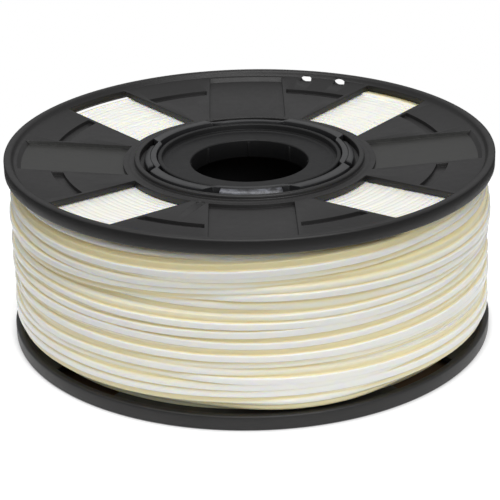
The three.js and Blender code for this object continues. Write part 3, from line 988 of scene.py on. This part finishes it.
def wind():
    """Lays one strand round and round, layer on layer. Gives grids of radius and depth, and the heights."""
    rng = np.random.default_rng(WINDING_SEED)
    start = WOUND_RADIUS - STRAND - (LAYERS - 1) * LAYER_RISE
    farthest = plate_under(WOUND_RADIUS) - SEAT_GAP
    cells = int(2 * farthest / CELL)
    heights = (np.arange(cells) - (cells - 1) / 2) * CELL
    profile = np.interp(heights, *zip(*WOUND_PROFILE))
    surface = np.tile(start + profile, (TURN_STEPS, 1))
    for layer in range(LAYERS):
        path = layer_path(rng, farthest - STRAND / 2, 1 if layer % 2 == 0 else -1)
        before = None
        for z in path.reshape(-1, TURN_STEPS):
            before = lay_turn(surface, heights, z, before)
    level = np.apply_along_axis(blur, 1, surface, int(EVEN_HEIGHT / CELL))
    level = np.apply_along_axis(blur_round, 0, level, EVEN_STEPS)
    away = WOUND_RADIUS - RIDGE + profile - level
    surface += away * EVENNESS + away.mean() * (1 - EVENNESS)
    over = np.maximum(surface - WOUND_RADIUS, 0)
    room = WOUND_LIMIT - WOUND_RADIUS
    surface = np.minimum(surface, WOUND_RADIUS) + room * over / (room + over)
    hull = neighbours(surface, STRAND)
    crest = neighbours(surface, STRAND * NEAR)
    depth = hull * FAR_WEIGHT + crest * NEAR_WEIGHT - surface
    surface = hull - GAP_DEPTH * (1 - np.exp(-(hull - surface) / GAP_DEPTH))
    below_rim = np.clip(HALF - RIM_HEIGHT - SEAT_GAP - np.abs(heights), 0, 1)
    surface = np.minimum(surface, RIM_INNER - SEAT_GAP + below_rim * RIM_CLEARING)
    return np.apply_along_axis(blur, 1, surface, FUSE), depth, heights


def relief_ring(name, radii, heights, depths):
    """A closed ring from grids of radius and height, one row for each angle, shaded smooth.

    It also keeps how deep each point lies between strands, for the filament's painted highlight and amber
    light.
    """
    steps, n = radii.shape
    angle = np.arange(steps)[:, None] * 2 * math.pi / steps
    verts = np.stack([radii * np.cos(angle), radii * np.sin(angle), heights], axis=-1).reshape(-1, 3)
    here = np.arange(steps)[:, None] * n + np.arange(n)
    there = np.roll(here, -1, axis=0)
    corners = [here, there, np.roll(there, -1, axis=1), np.roll(here, -1, axis=1)]
    faces = np.stack(corners, axis=-1).reshape(-1, 4)
    made = new_object(name, verts.tolist(), faces.tolist())
    attribute = made.data.attributes.new("depth", "FLOAT", "POINT")
    attribute.data.foreach_set("value", np.ascontiguousarray(depths, dtype=np.float32).ravel())
    made.data.shade_smooth()
    return made


def outer_winding():
    """The relief of the last layers, closed on its inside by a plain wall."""
    surface, depth, heights = wind()
    inner = CORE_OUTER + SEAT_GAP
    surface = np.maximum(surface, inner + LEAST_WALL)
    ends = np.full((TURN_STEPS, 1), inner)
    radii = np.hstack([surface, ends, ends])
    levels = np.tile(np.concatenate([heights, heights[-1:], heights[:1]]), (TURN_STEPS, 1))
    depths = np.clip(np.hstack([depth, ends * 0, ends * 0]) / DEPTH_SHOWN, 0, 1)
    return relief_ring("outer_winding", radii, levels, depths)


def ring_wave(rng, count):
    """A random curve round the spool with up to so many waves, as a column of values by angle."""
    t = np.arange(TURN_STEPS) / TURN_STEPS * 2 * math.pi
    parts = [rng.normal() * np.cos(k * t + rng.uniform(0, 2 * math.pi)) / k for k in range(1, count + 1)]
    return np.sum(parts, axis=0)[:, None]


def layer_ends(rng, radii):
    """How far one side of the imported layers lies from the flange, as one ring for each layer."""
    rho = STRAND / 2
    sunk = np.full((TURN_STEPS, len(radii)), rho)
    middle = CORE_INNER + rho
    while middle < CORE_OUTER + LAYER_RISE:
        away = radii - (middle + ring_wave(rng, 5) * CORE_WANDER)
        cap = np.sqrt(np.maximum(rho ** 2 - away ** 2, 0))
        ring = (rho - cap) * CORE_RELIEF + CORE_SINK + np.abs(ring_wave(rng, 4)) * CORE_SINK
        sunk = np.minimum(sunk, ring)
        middle += LAYER_RISE
    return sunk


def packed_layers():
    """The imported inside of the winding. The ends of its layers show through the windows as rings."""
    rng = np.random.default_rng(CORE_SEED)
    radii = np.arange(CORE_INNER, CORE_OUTER, CORE_CELL)
    upper = layer_ends(rng, radii)
    lower = layer_ends(rng, radii)
    top = plate_under(radii) - SEAT_GAP
    levels = np.hstack([top - upper, (lower - top)[:, ::-1]])
    depths = np.clip(np.hstack([upper, lower[:, ::-1]]) / DEPTH_SHOWN / CORE_PALER + CORE_TINT, 0, 1)
    every = np.tile(np.concatenate([radii, radii[::-1]]), (TURN_STEPS, 1))
    return relief_ring("packed_layers", every, levels, depths)


# ---------------------------------------------------------------- camera, light and floor


# The camera was fitted to outlines in the photograph. Distances are in millimetres and angles in degrees.
PHOTO_SIZE = 500
FOCAL_PIXELS = 1714.7
CAMERA_DISTANCE = 718.0
CAMERA_RISE = 23.061
CAMERA_PITCH = 0.64
CAMERA_ROLL = -1.127
CAMERA_SIDE = -0.5
CAMERA_TURN = -0.55

FLOOR_RADIUS = 200
FLOOR_SIDES = 96

# The sky's strength, from straight down to straight up.
SKY = ((0, 0.06), (0.5, 0.1), (0.6, 0.3), (0.69, 0.68), (0.76, 0.5), (1, 0.5))
SKY_TINT = (0.985, 0.99, 1)


def camera():
    """The photograph's camera, which looks a little further down than at the spool's middle."""
    data = bpy.data.cameras.new("camera")
    data.sensor_width = 36
    data.lens = FOCAL_PIXELS * data.sensor_width / PHOTO_SIZE
    data.clip_start = 0.01
    data.clip_end = 20
    made = bpy.data.objects.new("camera", data)
    bpy.context.scene.collection.objects.link(made)
    rise = math.radians(CAMERA_RISE)
    down = rise + math.radians(CAMERA_PITCH)
    place = Vector((
        CAMERA_SIDE,
        -CAMERA_DISTANCE * math.cos(rise),
        HALF + CAMERA_DISTANCE * math.sin(rise),
    )) * MM
    ahead = Vector((0, math.cos(down), -math.sin(down)))
    right = Vector((1, 0, 0))
    up = right.cross(ahead)
    roll = math.radians(CAMERA_ROLL)
    x_axis = right * math.cos(roll) + up * math.sin(roll)
    y_axis = up * math.cos(roll) - right * math.sin(roll)
    axes = Matrix((x_axis, y_axis, -ahead)).transposed().to_4x4()
    turn = Matrix.Rotation(math.radians(CAMERA_TURN), 4, "Z")
    made.matrix_world = turn @ Matrix.Translation(place) @ axes
    bpy.context.scene.camera = made


def softbox(name, place, aim, size, power):
    """A rectangular lamp. Its place and size are in metres."""
    data = bpy.data.lights.new(name, "AREA")
    data.shape = "RECTANGLE"
    data.size, data.size_y = size
    data.energy = power
    lamp = bpy.data.objects.new(name, data)
    lamp.location = place
    lamp.rotation_mode = "QUATERNION"
    lamp.rotation_quaternion = (Vector(aim) - Vector(place)).to_track_quat("-Z", "Y")
    bpy.context.scene.collection.objects.link(lamp)


def floor():
    outline = [(x, y, -HALF) for x, y in circle(FLOOR_RADIUS, FLOOR_SIDES)]
    made = new_object("floor", outline, [tuple(range(FLOOR_SIDES))])
    made.data.materials.append(pale_floor("floor_white"))


def sky():
    """A soft sky, brightest a little above the horizon. The camera sees plain white in its place."""
    n = Nodes(bpy.data.worlds.new("studio"), "ShaderNodeOutputWorld")
    direction = n.add("ShaderNodeSeparateXYZ")
    n.link(n.add("ShaderNodeTexCoord").outputs["Generated"], direction.inputs[0])
    height = n.calculate("MULTIPLY_ADD", direction.outputs["Z"], 0.5, 0.5)
    stops = [(place, tuple(strength * tint for tint in SKY_TINT)) for place, strength in SKY]
    light = n.add("ShaderNodeBackground")
    n.link(n.ramp(height, *stops), light.inputs["Color"])
    white = n.add("ShaderNodeBackground", Color=(*WHITE, 1))
    mix = n.add("ShaderNodeMixShader")
    n.link(n.add("ShaderNodeLightPath").outputs["Is Camera Ray"], mix.inputs[0])
    n.link(light.outputs[0], mix.inputs[1])
    n.link(white.outputs[0], mix.inputs[2])
    n.link(mix.outputs[0], n.output.inputs["Surface"])
    bpy.context.scene.world = n.owner


def studio():
    floor()
    sky()
    middle = (0, 0, HALF * MM)
    softbox("overhead", place=(-0.1, -0.25, 1.3), aim=middle, size=(1.2, 0.9), power=8.5)
    softbox("front", place=(0.45, -1.1, 0.95), aim=middle, size=(0.9, 0.5), power=6.5)


# ---------------------------------------------------------------- the spool


camera()
studio()

spool_black = moulded_black(
    "spool_black",
    tones=((0.0085, 0.0080, 0.0080), (0.0125, 0.0118, 0.0118)),
    roughness=(0.36, 0.54),
    ior=1.47,
    # Marked tones: a coarser texture on the side recesses' floors and a painted sheen on their long walls.
    finish_and_sheen_tones=((0.021, 0.021, 0.0195), (0.028, 0.028, 0.026)),
)
drum_black = moulded_black(
    "drum_black",
    tones=((0.0120, 0.0122, 0.0132), (0.0170, 0.0172, 0.0185)),
    roughness=(0.24, 0.38),
    ior=1.55,
    # Marked tones: a painted, speckled bluish highlight on the front snap nose.
    finish_and_sheen_tones=((0.02, 0.02, 0.023), (0.15, 0.155, 0.18)),
)
insert_black = moulded_black(
    "insert_black",
    tones=((0.0055, 0.0055, 0.0058), (0.0085, 0.0085, 0.0090)),
    roughness=(0.42, 0.60),
    ior=1.38,
)
ivory = natural_filament("filament_ivory")

upper_flange = flange()
upper_flange.name = "upper_flange_moulding"
lower_flange = turn_over(upper_flange, "lower_flange_moulding")
seat(upper_flange, "spool_plastic", spool_black, "upper_flange")
seat(lower_flange, "spool_plastic", spool_black, "lower_flange")
seat(drum(), "spool_plastic", drum_black, "winding_drum")
upper_hub = hub()
upper_hub.name = "upper_bore_insert_moulding"
lower_hub = turn_over(upper_hub, "lower_bore_insert_moulding")
seat(upper_hub, "insert_plastic", insert_black, "upper_bore_insert")
seat(lower_hub, "insert_plastic", insert_black, "lower_bore_insert")
seat(packed_layers(), "filament", ivory, "filament_core")
seat(outer_winding(), "filament", ivory, "filament_outer_turns")

bpy.context.scene.view_settings.view_transform = "Standard"
